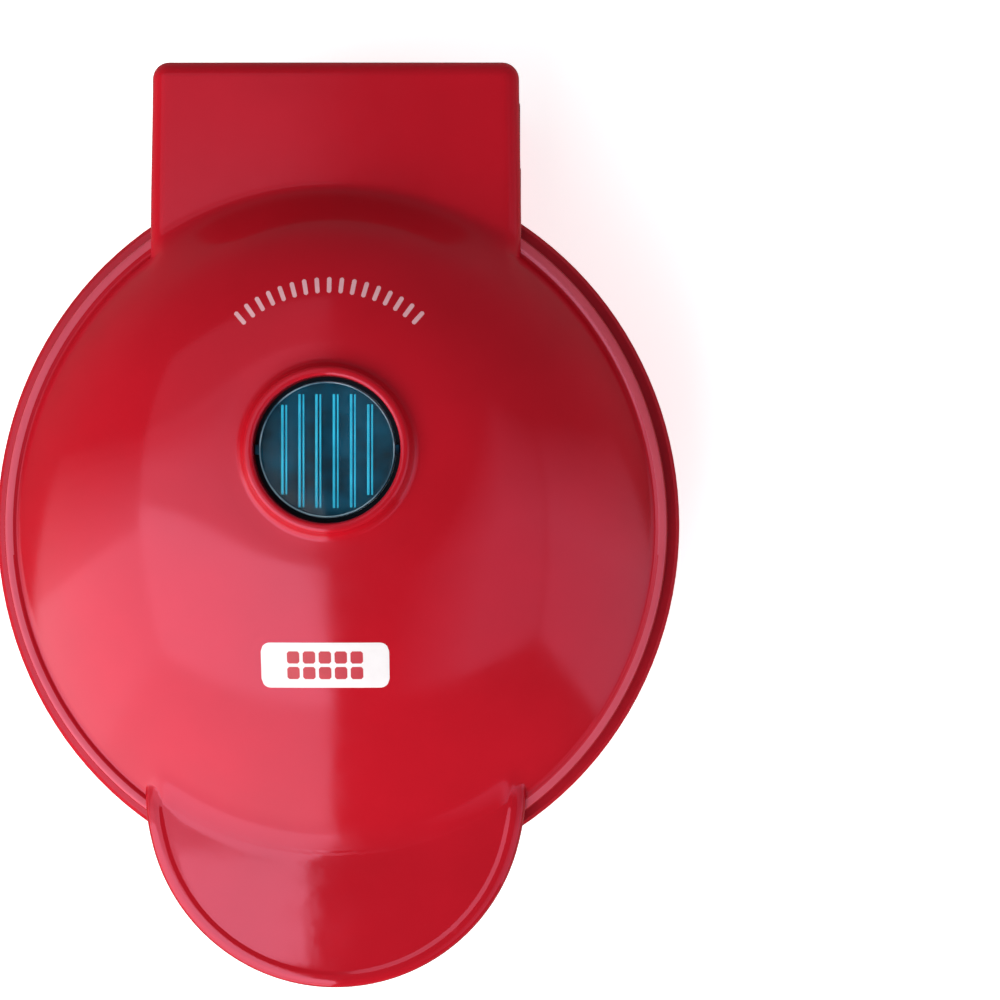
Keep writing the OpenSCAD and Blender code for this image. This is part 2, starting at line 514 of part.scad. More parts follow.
module lid_wires() color([0.9, 0.9, 0.9]) {
  // pair from the harness sleeve over the rim to the heater ends
  wire([[0.1, 75, 38.25], [4.5, 75, 38.25], [8.7, 74, 39], [9.4, 71, 42.6], [9.4, 66.5, 45], [9.4, 60, 45.2], [9.4, 56.8, 45.6], [9.5, 53.6, 46.6], [9.9, 50.8, 49.2], [11, 45.5, 54], [12.8, 38, 60], [14.6, 33, 61.8], [15, 28.4, 62]], 0.7, [0, 1, 1]);
  wire([[0.1, 75, 39.75], [4, 75, 39.75], [6.9, 73.8, 40.6], [7.5, 71, 43.2], [7.4, 66.5, 45], [7.4, 60, 45.2], [7.4, 56.8, 45.6], [7.3, 53.6, 46.6], [6.4, 50.8, 49.2], [3.6, 44.5, 55.2], [-4, 40, 60.2], [-12, 34, 62], [-15, 28.4, 62]], 0.7, [0, 1, 1]);
  // lamp leads
  wire([[-17.3, 25, 62], [-20, 20, 62.4], [-20.5, 10, 62.2], [-19, 2, 62], [-10, -4, 61.4], [6, -4.6, 61], [16, -3, 60.6], [20.6, 0, 60.6], [21, 1.9, 60.6]], 0.6, [0, 0, 1]);
  wire([[21, 15.1, 60.6], [21.2, 19, 60.2], [16, 22.6, 59.2], [8, 20, 59], [5, 14, 59.2]], 0.6, [0, 0, 1]);
}

base_housing();
bottom_cover();
rubber_feet();
cover_screws();
lower_plate();
lower_heater();
lower_heater_clamp();
lower_reflector();
plate_screws();
thermostat();
thermostat_bracket();
thermostat_screws();
thermal_fuse();
fuse_sleeve();
crimp_caps();
lower_terminal_boots();
base_wires();
cord_gland();
hinge_pins();
hinge_harness_sleeve();
lid_shell();
lid_frame();
frame_screws();
upper_plate();
upper_heater();
upper_heater_clamp();
upper_reflector();
upper_clamp_screw();
indicator_lens();
lamp_holder();
lens_retainer();
neon_lamp();
lamp_resistor();
upper_terminal_boots();
lid_wires();
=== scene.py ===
import json
import math

import bmesh
import bpy
import numpy as np
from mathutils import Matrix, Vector


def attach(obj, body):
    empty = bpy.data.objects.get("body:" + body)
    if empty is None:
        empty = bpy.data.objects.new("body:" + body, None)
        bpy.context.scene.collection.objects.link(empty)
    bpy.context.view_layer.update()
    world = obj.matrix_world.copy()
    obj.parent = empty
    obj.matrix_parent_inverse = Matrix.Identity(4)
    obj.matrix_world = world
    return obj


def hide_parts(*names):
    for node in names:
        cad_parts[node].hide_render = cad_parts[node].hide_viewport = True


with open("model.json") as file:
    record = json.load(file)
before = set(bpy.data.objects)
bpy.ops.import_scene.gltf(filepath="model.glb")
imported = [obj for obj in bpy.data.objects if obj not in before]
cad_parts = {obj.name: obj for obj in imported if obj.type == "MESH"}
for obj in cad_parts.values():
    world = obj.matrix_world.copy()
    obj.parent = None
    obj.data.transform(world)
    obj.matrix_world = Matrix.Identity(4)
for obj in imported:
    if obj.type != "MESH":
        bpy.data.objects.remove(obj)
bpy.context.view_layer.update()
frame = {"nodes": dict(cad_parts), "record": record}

nodes = frame["nodes"]
scene = bpy.context.scene

MM = 0.001
KY = 1.0472  # the body is a little longer than it is wide


# ---------------------------------------------------------------- mesh tools
def smoothstep(a, b, x):
    t = np.clip((np.asarray(x, float) - a) / (b - a), 0, 1)
    return t * t * (3 - 2 * t)


def build(name, verts, faces, body, mat, stands_for=(), sharp=38, weld=True):
    me = bpy.data.meshes.new(name)
    me.from_pydata([tuple(v) for v in np.asarray(verts, float) * MM], [], [tuple(int(i) for i in f) for f in faces])
    bm = bmesh.new()
    bm.from_mesh(me)
    if weld:
        bmesh.ops.remove_doubles(bm, verts=bm.verts, dist=1.5e-6)
        bmesh.ops.dissolve_degenerate(bm, dist=2e-7, edges=bm.edges)
    bmesh.ops.recalc_face_normals(bm, faces=bm.faces)
    limit = math.radians(sharp)
    for f in bm.faces:
        f.smooth = True
    for e in bm.edges:
        if len(e.link_faces) == 2 and e.calc_face_angle(0) > limit:
            e.smooth = False
    bm.to_mesh(me)
    bm.free()
    me.update()
    ob = bpy.data.objects.new(name, me)
    scene.collection.objects.link(ob)
    me.materials.append(mat)
    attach(ob, body)
    if stands_for:
        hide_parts(*stands_for)
    return ob


def prof(pts, seg=5, closed=False):
    """Corner points (a, b, radius) to a smooth list of (a, b)."""
    out = []
    n = len(pts)
    for i, p in enumerate(pts):
        r = p[2] if len(p) > 2 else 0
        P = np.array(p[:2], float)
        if r <= 0 or (not closed and i in (0, n - 1)):
            out.append(P)
            continue
        A = np.array(pts[(i - 1) % n][:2], float)
        B = np.array(pts[(i + 1) % n][:2], float)
        la, lb = np.linalg.norm(A - P), np.linalg.norm(B - P)
        u, v = (A - P) / la, (B - P) / lb
        half = math.acos(max(-1, min(1, float(u @ v)))) / 2
        if half > math.pi / 2 - 1e-3 or half < 1e-3:
            out.append(P)
            continue
        d = min(r / math.tan(half), 0.48 * la, 0.48 * lb)
        rr = d * math.tan(half)
        C = P + (u + v) / np.linalg.norm(u + v) * (rr / math.sin(half))
        s, e = P + u * d - C, P + v * d - C
        tot = math.acos(max(-1, min(1, float(s @ e) / rr / rr)))
        k = max(2, int(math.ceil(seg * tot / (math.pi / 2))))
        for j in range(k + 1):
            t = j / k
            w = (math.sin((1 - t) * tot) * s + math.sin(t * tot) * e) / math.sin(tot)
            out.append(C + w)
    return np.array(out)


def quads(P, N, closed):
    f = []
    for i in range(P if closed else P - 1):
        a, b = i * N, ((i + 1) % P) * N
        for j in range(N):
            k = (j + 1) % N
            f.append((a + j, a + k, b + k, b + j))
    return f


def rings(pr, N=256, kx=1.0, ky=None, yc=None, cx=0.0):
    """Profile (r, z) to rings: ky and yc are arrays or numbers, one for each profile point."""
    pr = np.asarray(pr, float)
    P = len(pr)
    ky = np.full(P, 1.0 if ky is None else ky) if np.isscalar(ky) or ky is None else np.asarray(ky, float)
    yc = np.full(P, 0.0 if yc is None else yc) if np.isscalar(yc) or yc is None else np.asarray(yc, float)
    th = np.linspace(0, 2 * math.pi, N, endpoint=False)
    V = np.zeros((P, N, 3))
    V[:, :, 0] = cx + kx * pr[:, 0][:, None] * np.cos(th)
    V[:, :, 1] = ky[:, None] * pr[:, 0][:, None] * np.sin(th) + yc[:, None]
    V[:, :, 2] = pr[:, 1][:, None]
    return V


def lines(lo, hi, r, n, arc=4, both=True):
    """Lattice lines from lo to hi, close together where the corner of radius r turns."""
    t = np.array([r * (1 - math.tan(math.radians(45 * i / arc))) for i in range(arc, -1, -1)])
    a = lo + t if both else np.array([lo])
    b = (hi - t)[::-1]
    mid = np.linspace(a[-1], b[0], n + 1)[1:-1]
    return np.concatenate([a, mid, b])


def lattice(X, Y, Z, bottom=True, top=True):
    """The surface of a box of lattice lines: points, faces and the index of each key."""
    nx, ny, nz = len(X), len(Y), len(Z)
    idx, pts, faces = {}, [], []

    def vid(i, j, k):
        if (i, j, k) not in idx:
            idx[(i, j, k)] = len(pts)
            pts.append((X[i], Y[j], Z[k]))
        return idx[(i, j, k)]

    for i in range(nx - 1):
        for j in range(ny - 1):
            if top:
                faces.append((vid(i, j, nz - 1), vid(i + 1, j, nz - 1), vid(i + 1, j + 1, nz - 1), vid(i, j + 1, nz - 1)))
            if bottom:
                faces.append((vid(i, j, 0), vid(i, j + 1, 0), vid(i + 1, j + 1, 0), vid(i + 1, j, 0)))
    for k in range(nz - 1):
        for i in range(nx - 1):
            faces.append((vid(i, 0, k), vid(i + 1, 0, k), vid(i + 1, 0, k + 1), vid(i, 0, k + 1)))
            faces.append((vid(i, ny - 1, k), vid(i, ny - 1, k + 1), vid(i + 1, ny - 1, k + 1), vid(i + 1, ny - 1, k)))
        for j in range(ny - 1):
            faces.append((vid(0, j, k), vid(0, j, k + 1), vid(0, j + 1, k + 1), vid(0, j + 1, k)))
            faces.append((vid(nx - 1, j, k), vid(nx - 1, j + 1, k), vid(nx - 1, j + 1, k + 1), vid(nx - 1, j, k + 1)))
    return np.array(pts, float), faces, idx


def rounded(P, lo, hi, r, low=True):
    """Points on a box surface moved to the same box with rounded corners. low False keeps the bottom edges sharp."""
    lo, hi = np.array(lo, float), np.array(hi, float)
    a, b = lo + r, hi - r
    if not low:
        a[2] = lo[2] - 1
    q = np.clip(P, a, b)
    d = P - q
    n = np.linalg.norm(d, axis=1)
    out = P.copy()
    m = n > 1e-9
    out[m] = q[m] + d[m] / n[m][:, None] * r
    if not low:
        out[:, 2] = np.where(P[:, 2] < b[2], P[:, 2], out[:, 2])
    return out


def shell(outer, inner, nx, ny, faces, idx):
    """Outer and inner lattices of the same keys with open bottoms, joined round the bottom edge."""
    n = len(outer)
    allf = list(faces) + [tuple(i + n for i in f[::-1]) for f in faces]
    loop = [(i, 0, 0) for i in range(nx - 1)] + [(nx - 1, j, 0) for j in range(ny - 1)]
    loop += [(i, ny - 1, 0) for i in range(nx - 1, 0, -1)] + [(0, j, 0) for j in range(ny - 1, 0, -1)]
    for a, b in zip(loop, loop[1:] + loop[:1]):
        allf.append((idx[a], idx[b], idx[b] + n, idx[a] + n))
    return np.vstack([outer, inner]), allf


# ------------------------------------------------------------------ materials
def mat_base(name, color, rough, color2=None, cscale=60.0, camount=0.5, rscale=220.0, rspread=0.06, bump=0.04,
             bscale=900.0, bdist=0.0002, metallic=0.0, coat=0.0, coat_rough=0.05, spec=0.5, ior=1.5, trans=0.0,
             alpha=1.0, speck=0.0, sheen=0.0, brushed=False, edge_wear_and_sheen=None, edge_wear_and_sheen_amount=0.0, tint=(1, 1, 1), glow=0.0):
    m = bpy.data.materials.new(name)
    m.use_nodes = True
    nt = m.node_tree
    nt.nodes.clear()
    out = nt.nodes.new("ShaderNodeOutputMaterial")
    b = nt.nodes.new("ShaderNodeBsdfPrincipled")
    nt.links.new(b.outputs[0], out.inputs[0])
    b.inputs["Metallic"].default_value = metallic
    b.inputs["IOR"].default_value = ior
    b.inputs["Specular IOR Level"].default_value = spec
    b.inputs["Coat Weight"].default_value = coat
    b.inputs["Coat Roughness"].default_value = coat_rough
    b.inputs["Transmission Weight"].default_value = trans
    b.inputs["Sheen Weight"].default_value = sheen
    b.inputs["Alpha"].default_value = alpha
    b.inputs["Specular Tint"].default_value = (*tint, 1)
    b.inputs["Emission Color"].default_value = (*color, 1)
    b.inputs["Emission Strength"].default_value = glow
    tc = nt.nodes.new("ShaderNodeTexCoord")
    src = tc.outputs["Object"]
    if brushed:
        mp = nt.nodes.new("ShaderNodeMapping")
        mp.inputs["Scale"].default_value = (1.0, 14.0, 14.0)
        nt.links.new(src, mp.inputs[0])
        src = mp.outputs[0]
    n1 = nt.nodes.new("ShaderNodeTexNoise")
    n1.inputs["Scale"].default_value = cscale
    n1.inputs["Detail"].default_value = 4.0
    nt.links.new(src, n1.inputs["Vector"])
    r1 = nt.nodes.new("ShaderNodeValToRGB")
    r1.color_ramp.elements[0].position = 0.5 - camount / 2
    r1.color_ramp.elements[1].position = 0.5 + camount / 2
    c2 = color2 or tuple(c * 0.9 for c in color)
    r1.color_ramp.elements[0].color = (*c2, 1)
    r1.color_ramp.elements[1].color = (*color, 1)
    nt.links.new(n1.outputs["Fac"], r1.inputs[0])
    col = r1.outputs[0]
    if speck > 0:
        v = nt.nodes.new("ShaderNodeTexNoise")
        v.inputs["Scale"].default_value = 2600.0
        v.inputs["Detail"].default_value = 2.0
        nt.links.new(tc.outputs["Object"], v.inputs["Vector"])
        rv = nt.nodes.new("ShaderNodeValToRGB")
        rv.color_ramp.elements[0].position = 0.66
        rv.color_ramp.elements[0].color = (0, 0, 0, 1)
        rv.color_ramp.elements[1].position = 0.74
        rv.color_ramp.elements[1].color = (speck, speck, speck, 1)
        nt.links.new(v.outputs["Fac"], rv.inputs[0])
        mx = nt.nodes.new("ShaderNodeMixRGB")
        mx.blend_type = "ADD"
        mx.inputs[0].default_value = 1.0
        nt.links.new(col, mx.inputs[1])
        nt.links.new(rv.outputs[0], mx.inputs[2])
        col = mx.outputs[0]
    # Mixes a lighter colour onto convex edges found by pointiness. On the red plastics this is a painted edge
    # highlight; on the non-stick coating it is worn edges.
    if edge_wear_and_sheen:
        g = nt.nodes.new("ShaderNodeNewGeometry")
        rw = nt.nodes.new("ShaderNodeValToRGB")
        rw.color_ramp.elements[0].position = 0.53
        rw.color_ramp.elements[0].color = (0, 0, 0, 1)
        rw.color_ramp.elements[1].position = 0.66
        rw.color_ramp.elements[1].color = (edge_wear_and_sheen_amount, edge_wear_and_sheen_amount, edge_wear_and_sheen_amount, 1)
        nt.links.new(g.outputs["Pointiness"], rw.inputs[0])
        nw = nt.nodes.new("ShaderNodeTexNoise")
        nw.inputs["Scale"].default_value = 700.0
        nt.links.new(tc.outputs["Object"], nw.inputs["Vector"])
        mm = nt.nodes.new("ShaderNodeMath")
        mm.operation = "MULTIPLY"
        nt.links.new(rw.outputs[0], mm.inputs[0])
        nt.links.new(nw.outputs["Fac"], mm.inputs[1])
        mw = nt.nodes.new("ShaderNodeMixRGB")
        nt.links.new(mm.outputs[0], mw.inputs[0])
        nt.links.new(col, mw.inputs[1])
        mw.inputs[2].default_value = (*edge_wear_and_sheen, 1)
        col = mw.outputs[0]
    nt.links.new(col, b.inputs["Base Color"])
    n2 = nt.nodes.new("ShaderNodeTexNoise")
    n2.inputs["Scale"].default_value = rscale
    n2.inputs["Detail"].default_value = 5.0
    nt.links.new(src, n2.inputs["Vector"])
    mr = nt.nodes.new("ShaderNodeMapRange")
    mr.inputs["From Min"].default_value = 0.3
    mr.inputs["From Max"].default_value = 0.7
    mr.inputs["To Min"].default_value = max(0.01, rough - rspread)
    mr.inputs["To Max"].default_value = rough + rspread
    nt.links.new(n2.outputs["Fac"], mr.inputs["Value"])
    nt.links.new(mr.outputs["Result"], b.inputs["Roughness"])
    n3 = nt.nodes.new("ShaderNodeTexNoise")
    n3.inputs["Scale"].default_value = bscale
    n3.inputs["Detail"].default_value = 3.0
    nt.links.new(src, n3.inputs["Vector"])
    bp = nt.nodes.new("ShaderNodeBump")
    bp.inputs["Strength"].default_value = bump
    bp.inputs["Distance"].default_value = bdist
    nt.links.new(n3.outputs["Fac"], bp.inputs["Height"])
    nt.links.new(bp.outputs[0], b.inputs["Normal"])
    return m


RED = (0.50, 0.006, 0.0155)
PINK = (1.0, 0.44, 0.65)
M = {}
# On both red plastics, the lighter pink mixed onto pointy convex edges is a painted edge highlight.
M["red_handle"] = mat_base("polished_red_handle", RED, 0.055, (0.43, 0.0048, 0.012), cscale=45, rspread=0.015, bump=0.02,
                           bscale=420, bdist=0.0002, coat=0.0, spec=0.72, speck=0.003, edge_wear_and_sheen=(0.62, 0.05, 0.08), edge_wear_and_sheen_amount=0.3, tint=PINK)
M["red_plastic"] = mat_base("gloss_red_plastic", RED, 0.125, (0.43, 0.0048, 0.012), cscale=45, rspread=0.022, bump=0.03,
                            bscale=420, bdist=0.00025, coat=0.0, spec=0.65, speck=0.003, edge_wear_and_sheen=(0.62, 0.05, 0.08), edge_wear_and_sheen_amount=0.3, tint=PINK)
# Lid brim band: its higher roughness is the brim's satin finish, and its lighter pink colour is a painted highlight
# where the brim catches the light.
M["rim_red"] = mat_base("satin_rim_painted_highlight", (0.60, 0.085, 0.12), 0.34, (0.52, 0.06, 0.09), tint=PINK, cscale=60, rspread=0.05, bump=0.12,
                        bscale=1600, bdist=0.0002, speck=0.01)
M["dark_red_plastic"] = mat_base("textured_dark_red_plastic", (0.26, 0.008, 0.018), 0.48, (0.22, 0.006, 0.014), tint=PINK, cscale=70,
                                 rspread=0.08, bump=0.35, bscale=2400, bdist=0.0003, speck=0.01)
M["black_rubber"] = mat_base("matt_black_rubber", (0.028, 0.028, 0.029), 0.72, (0.018, 0.018, 0.019), cscale=120, bump=0.3,
                             bscale=1800, bdist=0.0003, speck=0.01)
M["screw_steel"] = mat_base("zinc_steel", (0.58, 0.59, 0.62), 0.28, (0.42, 0.42, 0.44), cscale=500, metallic=1.0, bump=0.15,
                            bscale=1500, brushed=True)
M["nonstick"] = mat_base("nonstick_coating", (0.034, 0.035, 0.037), 0.34, (0.022, 0.022, 0.024), cscale=90, rspread=0.07,
                         bump=0.22, bscale=2600, bdist=0.0003, speck=0.035, edge_wear_and_sheen=(0.10, 0.10, 0.105), edge_wear_and_sheen_amount=0.6)
M["heater_steel"] = mat_base("heat_tinted_steel", (0.30, 0.27, 0.24), 0.38, (0.20, 0.16, 0.20), cscale=80, metallic=1.0,
                             bump=0.1, bscale=900)
M["sheet_steel"] = mat_base("sheet_steel", (0.55, 0.56, 0.58), 0.30, (0.44, 0.45, 0.47), cscale=160, metallic=1.0, bump=0.15,
                            bscale=700, brushed=True)
M["reflector_alu"] = mat_base("rolled_aluminium", (0.78, 0.79, 0.80), 0.24, (0.68, 0.69, 0.71), cscale=140, metallic=1.0,
                              bump=0.15, bscale=600, brushed=True)
M["thermostat_body"] = mat_base("brown_phenolic", (0.09, 0.05, 0.03), 0.45, (0.06, 0.035, 0.022), cscale=200, bump=0.2,
                                bscale=1400)
M["white_ceramic"] = mat_base("glazed_ceramic", (0.80, 0.79, 0.74), 0.2, (0.74, 0.72, 0.66), cscale=140, coat=0.4, bump=0.1)
M["glass_sleeve"] = mat_base("glass_fibre_sleeve", (0.78, 0.75, 0.66), 0.7, (0.62, 0.59, 0.5), cscale=900, bump=0.7,
                             bscale=2200, bdist=0.0005, sheen=0.2)
M["white_plastic"] = mat_base("white_plastic", (0.80, 0.80, 0.78), 0.42, (0.74, 0.74, 0.71), cscale=90, bump=0.12, bscale=1500)
M["silicone"] = mat_base("silicone_boot", (0.72, 0.71, 0.68), 0.5, (0.64, 0.62, 0.58), cscale=120, bump=0.15, bscale=1200)
M["wire_sheath"] = mat_base("wire_insulation", (0.78, 0.78, 0.77), 0.45, (0.68, 0.68, 0.66), cscale=200, bump=0.2, bscale=1600)
M["black_plastic"] = mat_base("black_heat_plastic", (0.022, 0.022, 0.024), 0.45, (0.015, 0.015, 0.016), cscale=90, rspread=0.08,
                              bump=0.25, bscale=2200, bdist=0.0003, speck=0.012)
M["lamp_glass"] = mat_base("lamp_glass", (0.9, 0.62, 0.45), 0.08, (0.85, 0.55, 0.4), trans=0.9, bump=0.02)
M["resistor_body"] = mat_base("enamel_resistor", (0.66, 0.5, 0.32), 0.35, (0.6, 0.44, 0.28), cscale=300, bump=0.1)
M["blue_lens"] = mat_base("blue_clear_cap", (0.006, 0.10, 0.17), 0.06, (0.003, 0.06, 0.11), cscale=70, rspread=0.02, bump=0.02,
                          bscale=260, alpha=0.13, spec=0.8)
M["lens_dark"] = mat_base("lens_core_teal", (0.002, 0.085, 0.16), 0.3, (0.001, 0.005, 0.013), cscale=130, camount=0.22, bump=0.12, bscale=500, spec=0.08)
# Bright cyan strips on the lens ribs are painted glints where the rib edges catch light. Their glow is painted light
# standing in for light through the clear plastic.
M["lens_rib"] = mat_base("lens_rib_cyan", (0.03, 0.60, 0.88), 0.2, (0.008, 0.30, 0.50), cscale=150, camount=0.25, bump=0.1, bscale=600, glow=0.45)
# Pale blue-grey colour for the ring at the cap's edge: a painted highlight where the cap's edge catches the light.
M["lens_edge"] = mat_base("lens_edge_pale", (0.22, 0.36, 0.44), 0.12, (0.03, 0.10, 0.15), cscale=160, camount=0.2, bump=0.1, bscale=600)
# Near-black, barely shiny colour for the ring in the gap round the lens: painted shade for the shadowed recess.
M["lens_gap"] = mat_base("lens_gap_black", (0.003, 0.006, 0.012), 0.5, (0.001, 0.002, 0.005), cscale=160, bump=0.1, bscale=900,
                         spec=0.08)
M["print_pink"] = mat_base("pale_print", (0.80, 0.46, 0.50), 0.4, (0.74, 0.38, 0.43), cscale=500, bump=0.1, bscale=2200)
M["print_white"] = mat_base("white_print", (0.86, 0.84, 0.84), 0.36, (0.80, 0.77, 0.77), cscale=300, bump=0.08, bscale=2200)
M["print_red"] = mat_base("red_print", (0.52, 0.02, 0.04), 0.4, (0.46, 0.018, 0.035), cscale=500, bump=0.1, bscale=2200)

# every carried-over node gets its material; small bevels soften the cast and moulded edges
BEVELS = {"base_housing": 0.35, "bottom_cover": 0.3, "lid_frame": 0.25, "lower_plate": 0.3, "upper_plate": 0.3, "cord_gland": 0.3}
slot_of = {s["node"]: s["material_slot"] for s in frame["record"]["subparts"]}
for name, ob in nodes.items():
    mat = M[slot_of[name]]
    ob.data.materials.clear()
    ob.data.materials.append(mat)
    if name in BEVELS:
        bv = ob.modifiers.new("edge", "BEVEL")
        bv.width = BEVELS[name] * MM
        bv.segments = 2
        bv.limit_method = "ANGLE"
        bv.angle_limit = math.radians(42)

# ------------------------------------------------------------- the lid's shape
FOOT_R, FOOT_Z, RISE, RUN, LEAN = 58.1, 47.2, 21.1, 41.6, 13.5
HANDLE_Y, HANDLE_R = -50.0, 34.5
HOOD_X, HOOD_TOP, HOOD_REAR, HOOD_ROUND = 33.6, 49.5, 85.0, 3.1
EPS = 0.03
HOOD_EDGE = HOOD_TOP - HOOD_ROUND - 0.05


def dome_row(s):
    r = FOOT_R - RUN * s
    rise = 1 - (1 - s) ** 2
    z = FOOT_Z + RISE * rise
    k = KY - (KY - 1) * smoothstep(0.35, 1.0, s)
    return r, z, k, LEAN * rise


def dome_z(x, y):
    """Height of the dome over x, y; outside its foot it falls on."""
    x, y = np.asarray(x, float), np.asarray(y, float)
    lo, hi = np.full(x.shape, -0.45), np.full(x.shape, 0.98)
    for _ in range(34):
        s = (lo + hi) / 2
        r, z, k, yc = dome_row(s)
        inside = (x / r) ** 2 + ((y - yc) / (k * r)) ** 2 < 1
        lo = np.where(inside, s, lo)
        hi = np.where(inside, hi, s)
    return dome_row((lo + hi) / 2)[1]


def fillet(d, h, k):
    """What a smooth union adds on top of the higher of two heights."""
    t = np.clip(1 - np.abs(d - h) / k, 0, 1)
    return k * t * t / 4


def rho_handle(x, y):
    return np.hypot(x, y - HANDLE_Y)


K_HANDLE, K_HOOD = 2.3, 7.5


def hood_mask(x):
    return 1 - smoothstep(30.6, 34.4, np.abs(x))


def handle_mask(x, y):
    return 1 - smoothstep(30.8, 34.6, rho_handle(x, y))


def under(x, y, z):
    """Lower faces of the hood and handle stay inside the dome's wall."""
    return np.maximum(z, dome_z(x, y) - 1.6)


# dome, rim band and lens ring in one closed revolved and leaned shell
out_pts = [(59.2, 42.0, 0), (60.3, 42.0, 0.5), (60.8, 42.5, 0.4), (60.8, 47.3, 0.75), (59.15, 47.32, 0.9), (58.45, 46.98, 1.2)]
sv = np.concatenate([[0.008], np.linspace(0.02, 0.95, 78)])
dome_pts = [(float(dome_row(s)[0]), float(dome_row(s)[1])) for s in sv]
ring_pts = [(dome_pts[-1][0], dome_pts[-1][1], 0), (15.45, 68.34, 1.8), (14.7, 69.75, 1.15), (14.33, 71.0, 0.72), (12.85, 71.0, 0.5), (12.7, 66.4, 0),
            (15.8, 66.4, 0)]
inner_pts = [(float(dome_row(s)[0]) - 1.35 * (1 - s) - 0.2, float(dome_row(s)[1]) - 2.3) for s in np.linspace(0.95, 0.0, 30)]
low_pts = [(56.6, 44.4), (58.6, 44.0)]
p_out = prof(out_pts + [dome_pts[0] + (1.6,), dome_pts[1] + (0,)], 6)[:-1]
p_ring = prof(ring_pts, 7)[1:]
profile = np.vstack([p_out, dome_pts[1:], p_ring, inner_pts, low_pts])
z_of = profile[:, 1]
n_out, n_dome = len(p_out), len(dome_pts) - 1
n_ring = len(p_ring)
s_of = np.clip(1 - np.sqrt(np.clip(1 - (z_of - FOOT_Z) / RISE, 0, 1)), 0, 1)
k_of = KY - (KY - 1) * smoothstep(0.35, 1.0, s_of)
y_of = LEAN * np.clip((z_of - FOOT_Z) / RISE, 0, 1)
k_of[n_out + n_dome:n_out + n_dome + n_ring] = 1.0
y_of[n_out + n_dome:n_out + n_dome + n_ring] = LEAN
first_inner = n_out + n_dome + n_ring
sin_ = np.linspace(0.95, 0.0, 30)
k_of[first_inner:first_inner + 30] = KY - (KY - 1) * smoothstep(0.35, 1.0, sin_)
y_of[first_inner:first_inner + 30] = LEAN * (1 - (1 - sin_) ** 2)
V = rings(profile, 288, 1.0, k_of, y_of)
top = slice(n_out - 1, n_out + n_dome)
D = V[top, :, 2].copy()
X, Y = V[top, :, 0], V[top, :, 1]
rear = Y > 10
h_hood, h_handle = HOOD_TOP, 49.4
up_hood = np.where(rear, np.maximum(D, np.where(np.abs(X) < HOOD_X, h_hood, D)) - D + 0 * D, 0)
mh = hood_mask(X)
zr = np.maximum(D, h_hood) + fillet(D, h_hood, K_HOOD) - EPS * smoothstep(0, 1.5, h_hood - D)
zf = np.maximum(D, h_handle) + fillet(D, h_handle, K_HANDLE) - EPS * smoothstep(0, 1.5, h_handle - D)
mf = handle_mask(X, Y)
V[top, :, 2] = np.where(rear, D + (zr - D) * mh, D + (zf - D) * mf)
dome = build("lid_dome", V.reshape(-1, 3), quads(len(profile), 288, True), "lid", M["red_plastic"], ["lid_shell"], sharp=50)
# Brim band faces get the lighter pink material, a painted highlight along the brim.
dome.data.materials.append(M["rim_red"])
co = np.zeros(len(dome.data.polygons) * 3)
dome.data.polygons.foreach_get("center", co)
co = co.reshape(-1, 3) / MM
on_brim = (np.hypot(co[:, 0], co[:, 1] / KY) > 59.25) & (np.hypot(co[:, 0], co[:, 1] / KY) < 60.62) & (co[:, 2] > 46.5)
dome.data.polygons.foreach_set("material_index", on_brim.astype(np.int32))

# hinge hood
HX = lines(-HOOD_X, HOOD_X, HOOD_ROUND, 70, 6)
HYl = np.concatenate([np.linspace(34.0, 70.0, 52), np.linspace(70.6, 81.4, 20)])
tail = np.array([HOOD_ROUND * (1 - math.tan(math.radians(45 * i / 6))) for i in range(6, -1, -1)])
HYl = np.concatenate([HYl, (HOOD_REAR - tail)[::-1]])
HYl = np.unique(np.round(HYl, 5))
HZ = np.concatenate([np.linspace(0, 1, 7) * (7.5 - HOOD_ROUND) + 42.0, np.array([HOOD_TOP - HOOD_ROUND + HOOD_ROUND * math.tan(math.radians(45 * i / 6)) for i in range(1, 7)])])
P, F, IDX = lattice(HX, HYl, HZ, bottom=False)
outer = rounded(P, (-HOOD_X, 20.0, 42.0), (HOOD_X, HOOD_REAR, HOOD_TOP), HOOD_ROUND, low=False)
outer[:, 0] *= 1 + 0.012 * smoothstep(85, 52, outer[:, 1])
is_top = P[:, 2] > HOOD_TOP - HOOD_ROUND - 0.01
d = dome_z(outer[:, 0], outer[:, 1])
blended = np.maximum(outer[:, 2], d) + fillet(d, outer[:, 2], K_HOOD) * hood_mask(outer[:, 0]) - EPS * smoothstep(0, 1.5, d - outer[:, 2])
lower = np.maximum(outer[:, 2], d - 1.6)
outer[:, 2] = np.where(is_top, blended, np.minimum(lower, np.where(d > 50, d - 0.4, 99)))


def hood_bottom(x, y, z, zmin):
    """Lets the bottom edge follow the cheeks and the rear wall."""
    t = np.clip((z - 42.0) / (HOOD_EDGE - 42.0), 0, 1)
    ear = np.where(np.abs(y - 75) < 6.0, 39 - np.sqrt(np.clip(36 - (y - 75) ** 2, 0, None)), np.where(y > 75, 38.0, 42.0))
    ear = np.where(y >= 81.0, 38.0, ear)
    ear = np.where(y <= 69.0, 42.0, ear)
    bottom = np.where(np.abs(x) > 30.9, np.minimum(ear, 42.0), np.where(y > 78, 38.0, 42.0))
    return np.where(z < HOOD_EDGE, bottom + (HOOD_EDGE - bottom) * t, z)


